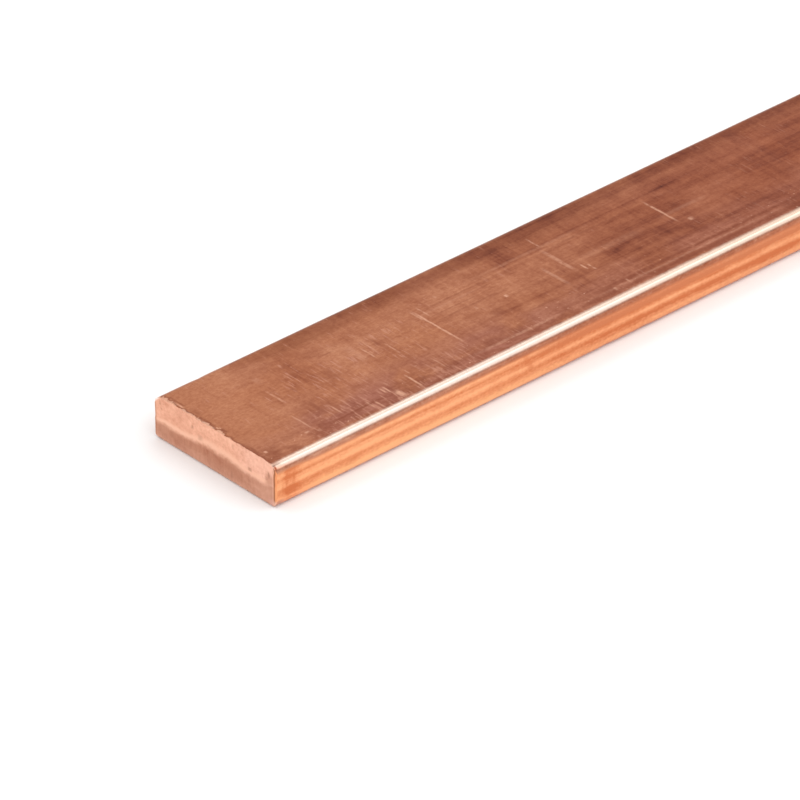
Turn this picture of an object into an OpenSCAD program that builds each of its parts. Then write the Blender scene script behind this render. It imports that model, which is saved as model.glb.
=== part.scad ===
// Copper flat bar, drawn with radiused long edges and cut to length.
// It is one solid piece of stock. It lies flat along X with its lower face on Z = 0,
// and its sheared end faces -X. All sizes are in millimetres.

/* [Section] */
// Width of the bar, across its flat faces
bar_w = 30; // [15:1:60]
// Thickness of the bar, from the face it lies on to the upper face
bar_t = 8; // [6:0.5:15]
// Radius on the four long edges, as the drawing die leaves it
edge_r = 1.4; // [0.5:0.1:2.5]

/* [Length] */
// Length the bar is cut to
bar_l = 300; // [100:10:1000]

/* [Sheared end] */
// Height of the smooth band that the blade wiped, at the middle of the width
burnish_h = 3.8; // [2.5:0.1:4.8]
// Fall of the line between the smooth and the torn band across the width, from blade rake
rake_angle = 0.5; // [0:0.1:2.5]
// Slope of the torn band above that line, back from square
tear_angle = 5; // [1:0.5:10]
// Radius that the blade rolled over along the lower edge of the end
rollover_r = 0.6; // [0.2:0.1:1.2]

/* [Sawn end] */
// Edge break that a file left all round the sawn end
file_break = 0.3; // [0.1:0.1:0.4]

/* [Hidden] */
$fn = 96;

// How far a cutting shape runs past the faces it cuts
overshoot = 2;
// Size of the block that stands for the torn metal, larger than the end it cuts
torn_block = bar_w + bar_t;
// Length of bar that keeps its full section, between the sheared face and the edge break
full_l = bar_l - file_break;

// Quarter-circle centres of the section, measured from the middle of the bar
corner_y = bar_w / 2 - edge_r;
corner_z = bar_t / 2 - edge_r;

// Places its children at the four quarter-circle centres of the section
module at_corners() {
    for (y = [-corner_y, corner_y], z = [-corner_z, corner_z])
        translate([0, y, z])
            children();
}

// Full section of the bar, running length along +X from the origin
module full_section(length) {
    rotate([90, 0, 90])
        linear_extrude(height = length) {
            square([2 * corner_y, bar_t], center = true);
            square([bar_w, 2 * corner_z], center = true);
        }
    at_corners()
        rotate([0, 90, 0])
            cylinder(r = edge_r, h = length);
}

// Trapezium that narrows from side to side by the edge break, drawn with its run along X
module break_outline(half_height) {
    polygon([
        [0, -half_height],
        [file_break, file_break - half_height],
        [file_break, half_height - file_break],
        [0, half_height],
    ]);
}

// The last stretch of the sawn end, where the file took the edge off all round
module broken_edge() {
    translate([0, corner_y, 0])
        rotate([90, 0, 0])
            linear_extrude(height = 2 * corner_y)
                break_outline(bar_t / 2);
    translate([0, 0, -corner_z])
        linear_extrude(height = 2 * corner_z)
            break_outline(bar_w / 2);
    at_corners()
        rotate([0, 90, 0])
            cylinder(r1 = edge_r, r2 = edge_r - file_break, h = file_break);
}

// The bar before its sheared end is shaped, lying on Z = 0 with its middle over the origin
module cut_length() {
    translate([-bar_l / 2, 0, bar_t / 2])
        full_section(full_l);
    translate([-bar_l / 2 + full_l, 0, bar_t / 2])
        broken_edge();
}

// What lies outside the quarter circle along the lower edge of the sheared end
module rollover_waste() {
    translate([-bar_l / 2, bar_w / 2 + overshoot, 0])
        rotate([90, 0, 0])
            linear_extrude(height = bar_w + 2 * overshoot)
                difference() {
                    translate([-overshoot, -overshoot])
                        square(rollover_r + overshoot);
                    translate([rollover_r, rollover_r])
                        circle(r = rollover_r);
                }
}

// Metal that tore away above the smooth band, leaning back from the end
module torn_waste() {
    translate([-bar_l / 2, 0, burnish_h])
        rotate([-rake_angle, 0, 0])
            rotate([0, tear_angle, 0])
                translate([-torn_block, -torn_block, 0])
                    cube([torn_block, 2 * torn_block, torn_block]);
}

module bar() {
    color([0.78, 0.45, 0.30])
        difference() {
            cut_length();
            rollover_waste();
            torn_waste();
        }
}

bar();
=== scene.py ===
"""Dresses a cut length of drawn copper flat bar.

The bar lies flat along X with its sheared end at -X. Its solid comes from the frame, and the mesh
here stands for it: the same section and length, with the relief that a blade, a saw, a drawing die
and some handling leave on soft copper. Lengths are in metres in the mesh and the studio, and in
millimetres in the finishes.
"""
import logging
import math
from dataclasses import dataclass, field
from enum import Enum, IntEnum

import bpy
import numpy as np
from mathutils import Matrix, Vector


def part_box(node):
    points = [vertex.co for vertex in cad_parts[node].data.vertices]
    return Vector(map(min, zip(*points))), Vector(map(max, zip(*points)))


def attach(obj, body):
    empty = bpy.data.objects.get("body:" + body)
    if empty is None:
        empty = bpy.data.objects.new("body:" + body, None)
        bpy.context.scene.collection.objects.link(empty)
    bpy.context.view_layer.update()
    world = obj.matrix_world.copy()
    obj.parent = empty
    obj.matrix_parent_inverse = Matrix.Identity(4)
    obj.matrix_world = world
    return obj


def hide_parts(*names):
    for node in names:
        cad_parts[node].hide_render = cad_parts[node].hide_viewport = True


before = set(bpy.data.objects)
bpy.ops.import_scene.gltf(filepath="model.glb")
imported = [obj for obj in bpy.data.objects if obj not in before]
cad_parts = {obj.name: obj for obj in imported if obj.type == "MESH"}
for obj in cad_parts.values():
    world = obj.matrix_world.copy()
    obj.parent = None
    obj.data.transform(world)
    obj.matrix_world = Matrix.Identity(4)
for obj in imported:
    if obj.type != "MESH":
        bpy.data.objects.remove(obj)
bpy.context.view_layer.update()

MM = 0.001

log = logging.getLogger("copper_bar")

Triple = tuple[float, float, float]
Colour = Triple
Socket = bpy.types.NodeSocket


class Seed(IntEnum):
    """Starting numbers of the random patterns in the mesh, one for each."""

    BAND_LINE = 11
    PITS = 23
    BURR_TEETH = 31
    BURR_CLUMPS = 37
    TORN_HILLS = 41
    TORN_GRAINS = 43
    WIPED_STREAKS = 47
    SAW_STROKE = 53
    DENTS = 61
    WAVINESS = 71


# Shapes and smooth noise, as whole arrays

def smoothstep(value: np.ndarray, low: float, high: float) -> np.ndarray:
    """Rises from 0 at low to 1 at high along 3t^2 - 2t^3.

    Args:
        value: the numbers to map.
        low: where the rise starts.
        high: where it ends; it may be below low, for a fall.
    Returns:
        Numbers from 0 to 1, one for each value.
    """
    t = np.clip((value - low) / (high - low), 0.0, 1.0)
    return t * t * (3.0 - 2.0 * t)


def ripple(a: np.ndarray, b: np.ndarray, wave: float, waves: int, seed: int) -> np.ndarray:
    """Smooth noise over two coordinates: the sum of cosine waves in seeded directions.

    Each wave is cos(k . p + phase), with a length between 0.6 and 1.6 times wave. The sum is
    multiplied by the root of 2 over the number of waves.

    Args:
        a: first coordinate of each point.
        b: second coordinate of each point.
        wave: the middling wavelength.
        waves: how many waves are summed.
        seed: picks the directions, lengths and phases.
    Returns:
        Noise of about unit spread, shaped like a and b.
    """
    rng = np.random.default_rng(seed)
    turn = rng.uniform(0.0, 2.0 * math.pi, waves)
    number = 2.0 * math.pi / (wave * rng.uniform(0.6, 1.6, waves))
    phase = rng.uniform(0.0, 2.0 * math.pi, waves)
    total = np.zeros(np.broadcast(a, b).shape)
    for angle, k, start in zip(turn, number, phase):
        total += np.cos(k * (math.cos(angle) * a + math.sin(angle) * b) + start)
    return total * math.sqrt(2.0 / waves)


@dataclass(frozen=True)
class BarSection:
    """Rounded rectangle that the die draws: flat faces joined by quarter circles."""

    width: float
    thickness: float
    edge_radius: float = 1.4 * MM
    flat_columns: int = 120
    side_columns: int = 18
    corner_columns: int = 12

    def outline(self) -> tuple[np.ndarray, np.ndarray, np.ndarray]:
        """Walks once round the section from the lower face, anticlockwise seen from +X.

        A corner point is its circle's centre plus the radius times the cosine and sine of an
        angle that turns by a quarter; a face is a straight run between two corners.

        Returns:
            The points (y, z), the outward normals (y, z), and each point's place on the
            section's middle line, which the end faces are filled from.
        """
        half_w = self.width / 2.0
        centre_y = half_w - self.edge_radius
        centre_z = self.thickness / 2.0 - self.edge_radius
        walks = []
        corners = ((1, -1, -90.0), (1, 1, 0.0), (-1, 1, 90.0), (-1, -1, 180.0))
        for number, (side, level, start) in enumerate(corners):
            turn = np.radians(np.linspace(start, start + 90.0, self.corner_columns, endpoint=False))
            arc = np.stack([np.cos(turn), np.sin(turn)], axis=1)
            centre = np.array([side * centre_y, level * centre_z])
            across = number % 2 == 0
            columns = self.side_columns if across else self.flat_columns
            leave = np.radians(start + 90.0)
            normal = np.array([math.cos(leave), math.sin(leave)])
            run = 2.0 * (centre_z if across else centre_y)
            step = np.linspace(0.0, run, columns, endpoint=False)[:, None]
            tangent = np.array([-normal[1], normal[0]])
            walks.append((centre + self.edge_radius * arc, arc))
            walks.append((centre + self.edge_radius * normal + step * tangent,
                          np.repeat(normal[None, :], columns, axis=0)))
        points = np.concatenate([points for points, _ in walks])
        normals = np.concatenate([normals for _, normals in walks])
        reach = half_w - self.thickness / 2.0
        middle = np.stack([np.clip(points[:, 0], -reach, reach), np.zeros(len(points))], axis=1)
        lift = np.array([0.0, self.thickness / 2.0])
        return points + lift, normals, middle + lift


@dataclass(frozen=True)
class ShearedEnd:
    """Relief of the end that a blade cut from below, as depth into the bar from the end plane."""

    thickness: float
    half_width: float
    band_height: float = 3.68 * MM
    line_swell: float = 0.04 * MM
    far_step: float = 0.56 * MM
    near_step: float = 0.36 * MM
    near_rise: float = 0.60 * MM
    rollover_radius: float = 0.6 * MM
    shoulder_depth: float = 0.14 * MM
    shoulder_start: float = 0.1 * MM
    shoulder_end: float = 1.7 * MM
    torn_start: float = 1.2 * MM
    torn_slope: float = 0.030
    tear_depth: float = 0.022 * MM
    streak_depth: float = 0.006 * MM
    pit_count: int = 11
    pit_depth: float = 0.09 * MM
    pit_radius: float = 0.24 * MM
    burr_height: float = 0.19 * MM
    burr_reach: float = 0.40 * MM
    burr_root: float = 0.05 * MM
    burr_overhang: float = 0.20 * MM
    overhang_height: float = 0.6 * MM
    corner_radius: float = 0.25 * MM

    def band_line(self, y: np.ndarray) -> np.ndarray:
        """Height of the line between the smooth and the torn band.

        It is highest over the middle of the width, drops a step towards each side, and rises
        again at the corner at -Y.
        """
        swell = self.line_swell * ripple(y, 0 * y, 3.0 * MM, 6, Seed.BAND_LINE)
        far = self.far_step * smoothstep(y, 2.0 * MM, 8.0 * MM)
        near = self.near_step * smoothstep(y, -3.0 * MM, -9.5 * MM)
        corner = self.near_rise * smoothstep(y, -12.0 * MM, -14.0 * MM)
        return self.band_height + swell - far - near + corner

    def above_line(self, y: np.ndarray, z: np.ndarray) -> np.ndarray:
        """How far each point lies above the line between the two bands.

        The change from one band to the other is softest over the middle, so distances count
        for more towards the sides.
        """
        spread = 1.0 - 0.3 * smoothstep(np.abs(y), 3.0 * MM, 7.0 * MM)
        return (z - self.band_line(y)) / spread

    def pits(self, y: np.ndarray, z: np.ndarray) -> np.ndarray:
        """Depth of the small pits where grains tore out: round bowls at seeded places."""
        rng = np.random.default_rng(Seed.PITS)
        place_y = rng.uniform(-14.0, 13.5, self.pit_count) * MM
        place_z = rng.uniform(4.3, 7.4, self.pit_count) * MM
        size = rng.uniform(0.5, 1.25, self.pit_count)
        depth = np.zeros(np.shape(y))
        for at_y, at_z, scale in zip(place_y, place_z, size):
            apart = ((y - at_y) ** 2 + (1.4 * (z - at_z)) ** 2) / (self.pit_radius * scale) ** 2
            depth = np.maximum(depth, self.pit_depth * scale * np.exp(-apart))
        return depth

    def raggedness(self, y: np.ndarray) -> np.ndarray:
        """How strongly the burr stands at each place along the upper edge, from 0 to 1."""
        teeth = 0.45 + 0.65 * ripple(y, 0 * y, 0.95 * MM, 11, Seed.BURR_TEETH)
        clumps = 0.55 + 0.60 * ripple(y, 0 * y, 2.8 * MM, 6, Seed.BURR_CLUMPS)
        weight = 0.25 + 0.75 * smoothstep(y, -3.0 * MM, 2.0 * MM)
        ends = smoothstep(np.abs(y), 13.9 * MM, 13.0 * MM)
        return np.clip(teeth, 0.0, 1.0) * np.clip(clumps, 0.0, 1.0) * weight * ends

    def depth(self, y: np.ndarray, z: np.ndarray) -> np.ndarray:
        """Depth of the end face at each point.

        A quarter circle rolls over below, and another rounds each upright corner. The smooth
        band lies in the end plane, under faint upright streaks. Above it a shoulder drops back
        along a smooth step, then the torn band leans back on a straight slope, roughened by two
        sizes of noise and by pits. At the top the burr hangs forward again.
        """
        under = np.clip(self.rollover_radius - z, 0.0, self.rollover_radius)
        rollover = self.rollover_radius - np.sqrt(self.rollover_radius ** 2 - under ** 2)
        above = self.above_line(y, z)
        torn = smoothstep(above, 0.0, self.torn_start)
        shoulder = self.shoulder_depth * smoothstep(above, self.shoulder_start, self.shoulder_end)
        lean = self.torn_slope * np.clip(above, 0.0, None)
        hills = ripple(y, 1.5 * z, 2.6 * MM, 12, Seed.TORN_HILLS)
        grains = ripple(y, 1.3 * z, 1.0 * MM, 16, Seed.TORN_GRAINS)
        rough = self.tear_depth * (hills + 0.5 * grains)
        strokes = 1.0 + ripple(y, 0.05 * z, 1.1 * MM, 12, Seed.WIPED_STREAKS)
        streak = self.streak_depth * strokes * (1.0 - torn)
        aside = np.clip(self.corner_radius - self.half_width + np.abs(y), 0.0, self.corner_radius)
        corner = self.corner_radius - np.sqrt(self.corner_radius ** 2 - aside ** 2)
        inner = 1.0 - 0.9 * smoothstep(np.abs(y), 11.0 * MM, 14.2 * MM)
        relief = rollover + inner * (shoulder + lean) + streak + corner
        relief = relief + torn * (rough + self.pits(y, z))
        lip = smoothstep(z, self.thickness - self.overhang_height, self.thickness)
        return np.clip(relief - self.burr_overhang * lip * self.raggedness(y), 0.0, None)


@dataclass(frozen=True)
class SawnEnd:
    """Relief of the end that a saw cut and a file broke, as depth in from the end plane."""

    file_break: float = 0.3 * MM
    kerf_depth: float = 0.012 * MM
    kerf_pitch: float = 1.3 * MM
    kerf_lean: float = 0.35
    kerf_wander: float = 0.25 * MM

    def depth(self, y: np.ndarray, z: np.ndarray) -> np.ndarray:
        """Shallow furrows that the saw's teeth leave: a squared cosine across the stroke."""
        wander = self.kerf_wander * ripple(y, z, 6.0 * MM, 8, Seed.SAW_STROKE)
        stroke = y + self.kerf_lean * z + wander
        return self.kerf_depth * np.cos(math.pi * stroke / self.kerf_pitch) ** 2


@dataclass(frozen=True)
class Handling:
    """Small dents that handling leaves in the long edges of soft copper."""

    count: int = 64
    deepest: float = 0.10 * MM
    widest: float = 1.5 * MM

    def dents(self, x: np.ndarray, edge: np.ndarray) -> np.ndarray:
        """Depth of the dents along the four long edges.

        Each dent is a bell curve along the bar, on one edge.

        Args:
            x: place along the bar.
            edge: number of the nearest long edge, 0 to 3, with a fraction away from its middle.
        Returns:
            Depth to push each point in, along its normal.
        """
        rng = np.random.default_rng(Seed.DENTS)
        places = rng.uniform(-148.0, 148.0, self.count) * MM
        edges = rng.integers(0, 4, self.count)
        widths = self.widest * rng.uniform(0.25, 1.0, self.count)
        depths = self.deepest * rng.uniform(0.15, 1.0, self.count) ** 2
        shifts = rng.uniform(-0.3, 0.3, self.count)
        total = np.zeros(np.broadcast(x, edge).shape)
        for place, number, width, deep, shift in zip(places, edges, widths, depths, shifts):
            along = np.exp(-((x - place) / width) ** 2)
            across = np.exp(-((edge - number - shift) / 0.3) ** 2)
            total = np.maximum(total, deep * along * across)
        return total


class Zone(Enum):
    """Which finish a face of the bar takes: the order of its material slots."""

    DRAWN = 0
    SHEARED = 1
    SAWN = 2


@dataclass
class CopperBar:
    """The bar's mesh: one closed grid, around the section and along the length."""

    length: float
    section: BarSection
    sheared: ShearedEnd
    sawn: SawnEnd = field(default_factory=SawnEnd)
    handling: Handling = field(default_factory=Handling)
    sheared_rings: int = 26
    sawn_rings: int = 10
    fine_reach: float = 6.0 * MM
    fine_stations: int = 40
    coarse_stations: int = 200
    waviness: float = 0.008 * MM
    sharp_angle: float = 38.0

    def stations(self) -> np.ndarray:
        """Distances from the sheared end, close together near it.

        Over the fine reach a distance is the reach times t^1.5, and beyond it the stations are
        evenly spaced up to where the file's break starts.
        """
        near = self.fine_reach * np.linspace(0.0, 1.0, self.fine_stations, endpoint=False) ** 1.5
        far = np.linspace(self.fine_reach, self.length - self.sawn.file_break,
                          self.coarse_stations)
        return np.concatenate([near, far])

    def edge_number(self, normals: np.ndarray) -> np.ndarray:
        """Long edge that each column of the outline belongs to, as turns of its normal."""
        turn = np.degrees(np.arctan2(normals[:, 1], normals[:, 0])) % 360.0
        return (turn - 45.0) / 90.0

    def skin(self) -> np.ndarray:
        """The drawn faces, station by station, as an array of rows, columns and x, y, z.

        A point is the outline's point, moved in along its normal by the waviness and dents.
        Next to the sheared end it starts at that end's depth, and its upper edge is lifted by
        the burr.
        """
        outline, normals, _ = self.section.outline()
        y, z = outline[None, :, 0], outline[None, :, 1]
        run = self.stations()[:, None]
        start = self.sheared.depth(y, z)
        x = run * (1.0 - start / self.length) + start - self.length / 2.0
        waves = 1.0 + ripple(x, 2.0 * y + 3.0 * z, 22.0 * MM, 10, Seed.WAVINESS)
        dents = self.handling.dents(x, self.edge_number(normals)[None, :])
        sunk = np.clip(self.waviness * waves + dents, 0.0, None) * smoothstep(run, 0.0, 2.0 * MM)
        lift = self.burr_lift(y, z, run)
        return np.stack([x, y - sunk * normals[None, :, 0], z - sunk * normals[None, :, 1] + lift],
                        axis=-1)

    def burr_lift(self, y: np.ndarray, z: np.ndarray, run: np.ndarray) -> np.ndarray:
        """Rise of the upper face next to the sheared end, falling off over the burr's reach."""
        top = self.section.thickness
        upper = smoothstep(z, top - self.sheared.burr_root, top)
        fade = np.exp(-(run / self.sheared.burr_reach) ** 2)
        return self.sheared.burr_height * self.sheared.raggedness(y) * upper * fade

    def end_rings(self, rings: int, inset: float) -> np.ndarray:
        """Rings that fill an end face, from the section's middle line out to its outline.

        A point is the middle line's point plus s times the way to the outline, with s from
        0 to 1, more closely spaced towards the outline.

        Args:
            rings: how many rings, with the outline itself not among them.
            inset: how far the outline is pulled in along its normals.
        Returns:
            An array of rows, columns and y, z.
        """
        outline, normals, middle = self.section.outline()
        rim = outline - inset * normals
        s = (1.0 - (1.0 - np.linspace(0.0, 1.0, rings, endpoint=False)) ** 1.25)[:, None, None]
        return middle[None] + s * (rim - middle)[None]

    def grid(self) -> tuple[np.ndarray, np.ndarray]:
        """All rows from the sheared end's middle to the sawn end's middle.

        Returns:
            The points as rows, columns and x, y, z, and the zone of the faces after each row.
        """
        near = self.end_rings(self.sheared_rings, 0.0)
        near_x = self.sheared.depth(near[..., 0], near[..., 1]) - self.length / 2.0
        near_grid = np.concatenate([near_x[..., None], near], axis=-1)
        skin = self.skin()
        far = self.end_rings(self.sawn_rings, self.sawn.file_break)[::-1]
        outline, normals, _ = self.section.outline()
        rim = (outline - self.sawn.file_break * normals)[None]
        far = np.concatenate([rim, far])
        far_x = self.length / 2.0 - self.sawn.depth(far[..., 0], far[..., 1])
        far_grid = np.concatenate([far_x[..., None], far], axis=-1)
        zones = np.concatenate([np.full(len(near_grid), Zone.SHEARED.value),
                                np.full(len(skin) - 1, Zone.DRAWN.value),
                                np.full(len(far_grid), Zone.SAWN.value)])
        return np.concatenate([near_grid, skin, far_grid]), zones

    def build(self) -> bpy.types.Object:
        """Makes the mesh object, with one vertex wherever points of the grid meet."""
        points, zones = self.grid()
        rows, columns, _ = points.shape
        flat = points.reshape(-1, 3)
        key = np.arange(rows * columns).reshape(rows, columns)
        for row in (0, rows - 1):
            _, first, back = np.unique(np.round(points[row, :, 1:], 9), axis=0,
                                       return_index=True, return_inverse=True)
            key[row] = row * columns + first[back.reshape(-1)]
        used, index = np.unique(key, return_inverse=True)
        index = index.reshape(rows, columns)
        turned = np.roll(index, -1, axis=1)
        quads = np.stack([index[:-1], turned[:-1], turned[1:], index[1:]], axis=-1).reshape(-1, 4)
        zone = np.repeat(zones, columns)
        start_point = quads[:, 0] == quads[:, 1]
        end_point = quads[:, 2] == quads[:, 3]
        whole = ~(start_point | end_point)
        faces = (quads[whole].tolist() + quads[start_point][:, [0, 2, 3]].tolist()
                 + quads[end_point][:, [0, 1, 2]].tolist())
        zone = np.concatenate([zone[whole], zone[start_point], zone[end_point]])
        mesh = bpy.data.meshes.new("copper_bar")
        mesh.from_pydata(flat[used].tolist(), [], faces)
        mesh.polygons.foreach_set("material_index", zone.astype(np.int32))
        mesh.polygons.foreach_set("use_smooth", np.ones(len(zone), dtype=bool))
        self.mark_bands(mesh, flat[used])
        mesh.update()
        mesh.validate()
        mesh.set_sharp_from_angle(angle=math.radians(self.sharp_angle))
        piece = bpy.data.objects.new("copper_bar", mesh)
        bpy.context.scene.collection.objects.link(piece)
        return piece

    def mark_bands(self, mesh: bpy.types.Mesh, points: np.ndarray) -> None:
        """Stores on each vertex how far it lies above the sheared end's band line, in mm."""
        above = self.sheared.above_line(points[:, 1], points[:, 2]) / MM
        layer = mesh.attributes.new("above_line", "FLOAT", "POINT")
        layer.data.foreach_set("value", above.astype(np.float32))


# Shader graphs

class Graph:
    """Adds nodes to one node tree and joins them."""

    def __init__(self, tree: bpy.types.NodeTree) -> None:
        """Works on tree."""
        self.tree = tree

    def node(self, kind: str, inputs: dict[str | int, object] | None = None,
             **settings: object) -> bpy.types.Node:
        """Adds one node.

        Args:
            kind: the node's type.
            inputs: socket name or number to a value, or to an output socket to link.
            settings: the node's own properties.
        Returns:
            The node.
        """
        node = self.tree.nodes.new(kind)
        for name, value in settings.items():
            setattr(node, name, value)
        for name, value in (inputs or {}).items():
            self.feed(node.inputs[name], value)
        return node

    def feed(self, socket: Socket, value: object) -> None:
        """Links an output to the socket, or sets the socket's own value."""
        if isinstance(value, Socket):
            self.tree.links.new(value, socket)
        elif isinstance(value, tuple) and len(value) == 3 and socket.type == "RGBA":
            socket.default_value = (*value, 1.0)
        else:
            socket.default_value = value

    def math(self, operation: str, *values: object, clamp: bool = False) -> Socket:
        """One math node on up to three values."""
        node = self.node("ShaderNodeMath", dict(enumerate(values)), operation=operation,
                         use_clamp=clamp)
        return node.outputs[0]

    def ramp(self, value: object, low: float, high: float, bottom: float = 0.0,
             top: float = 1.0) -> Socket:
        """Smooth rise from bottom at low to top at high."""
        node = self.node("ShaderNodeMapRange", {"Value": value, "From Min": low, "From Max": high,
                                                "To Min": bottom, "To Max": top},
                         interpolation_type="SMOOTHSTEP")
        return node.outputs["Result"]

    def blend(self, factor: object, first: object, second: object, mode: str = "MIX") -> Socket:
        """Colour between first and second."""
        node = self.node("ShaderNodeMix", data_type="RGBA", blend_type=mode, clamp_factor=True)
        self.feed(node.inputs[0], factor)
        self.feed(node.inputs[6], first)
        self.feed(node.inputs[7], second)
        return node.outputs[2]

    def stretch(self, place: Socket, scale: Triple) -> Socket:
        """The place, multiplied axis by axis."""
        node = self.node("ShaderNodeVectorMath", {0: place, 1: scale}, operation="MULTIPLY")
        return node.outputs[0]

    def noise(self, place: Socket, scale: Triple, detail: float = 3.0, roughness: float = 0.55,
              twist: float = 0.0) -> Socket:
        """Noise with its own scale along each axis, in cycles for each millimetre."""
        node = self.node("ShaderNodeTexNoise", {"Vector": self.stretch(place, scale), "Scale": 1.0,
                                                "Detail": detail, "Roughness": roughness,
                                                "Distortion": twist})
        return node.outputs[0]

    def times(self, first: object, *others: object) -> Socket:
        """The values multiplied together."""
        for other in others:
            first = self.math("MULTIPLY", first, other)
        return first

    def plus(self, first: object, *others: object) -> Socket:
        """The values added up."""
        for other in others:
            first = self.math("ADD", first, other)
        return first

    def apart(self, first: object, second: object) -> Socket:
        """How far apart two values are, without a sign."""
        return self.math("ABSOLUTE", self.math("SUBTRACT", first, second))

    def centred(self, noise: Socket, spread: float) -> Socket:
        """The noise, less its middle of a half, times the spread."""
        return self.math("MULTIPLY_ADD", noise, spread, -0.5 * spread)

    def tones(self, *parts: tuple[Socket, float]) -> Socket:
        """A multiplier about 1: each centred noise, times its own strength, is added to 1."""
        return self.plus(1.0, *(self.centred(noise, strength) for noise, strength in parts))

    def axes(self, place: Socket) -> list[Socket]:
        """The three coordinates of a place."""
        return list(self.node("ShaderNodeSeparateXYZ", {0: place}).outputs)

    def pair(self, first: Socket, second: Socket) -> Socket:
        """A flat place, from its two coordinates."""
        return self.node("ShaderNodeCombineXYZ", {0: first, 1: second}).outputs[0]

    def mix(self, factor: object, first: object, second: object) -> Socket:
        """Number between first and second."""
        return self.node("ShaderNodeMix", {0: factor, 2: first, 3: second},
                         data_type="FLOAT").outputs[0]

    def toned(self, colour: object, tone: Socket) -> Socket:
        """The colour at another tone: copper reddens as it darkens and pales as it lightens.

        Green is multiplied by the tone, red by its power 0.6 and blue by its power 1.2.
        """
        shift = self.node("ShaderNodeCombineColor", {0: self.math("POWER", tone, 0.6), 1: tone,
                                                     2: self.math("POWER", tone, 1.2)})
        return self.blend(1.0, colour, shift.outputs[0], "MULTIPLY")


class Effect(Enum):
    """Shader node groups that the finishes share, each built once."""

    GRAIN = "copper_grain"
    DRAW_LINES = "draw_lines"
    CROSS_MARKS = "cross_marks"
    SCRATCH = "single_scratch"
    SPECKS = "dark_specks"

    def use(self, graph: Graph, inputs: dict[str, object]) -> bpy.types.Node:
        """Places this group in a graph.

        Args:
            graph: the material's graph.
            inputs: values or sockets for the group's inputs.
        Returns:
            The group node, whose outputs are masks and values.
        """
        tree = bpy.data.node_groups.get(self.value) or EffectBook.build(self)
        node = graph.node("ShaderNodeGroup", node_tree=tree)
        for name, value in inputs.items():
            graph.feed(node.inputs[name], value)
        return node


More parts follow.
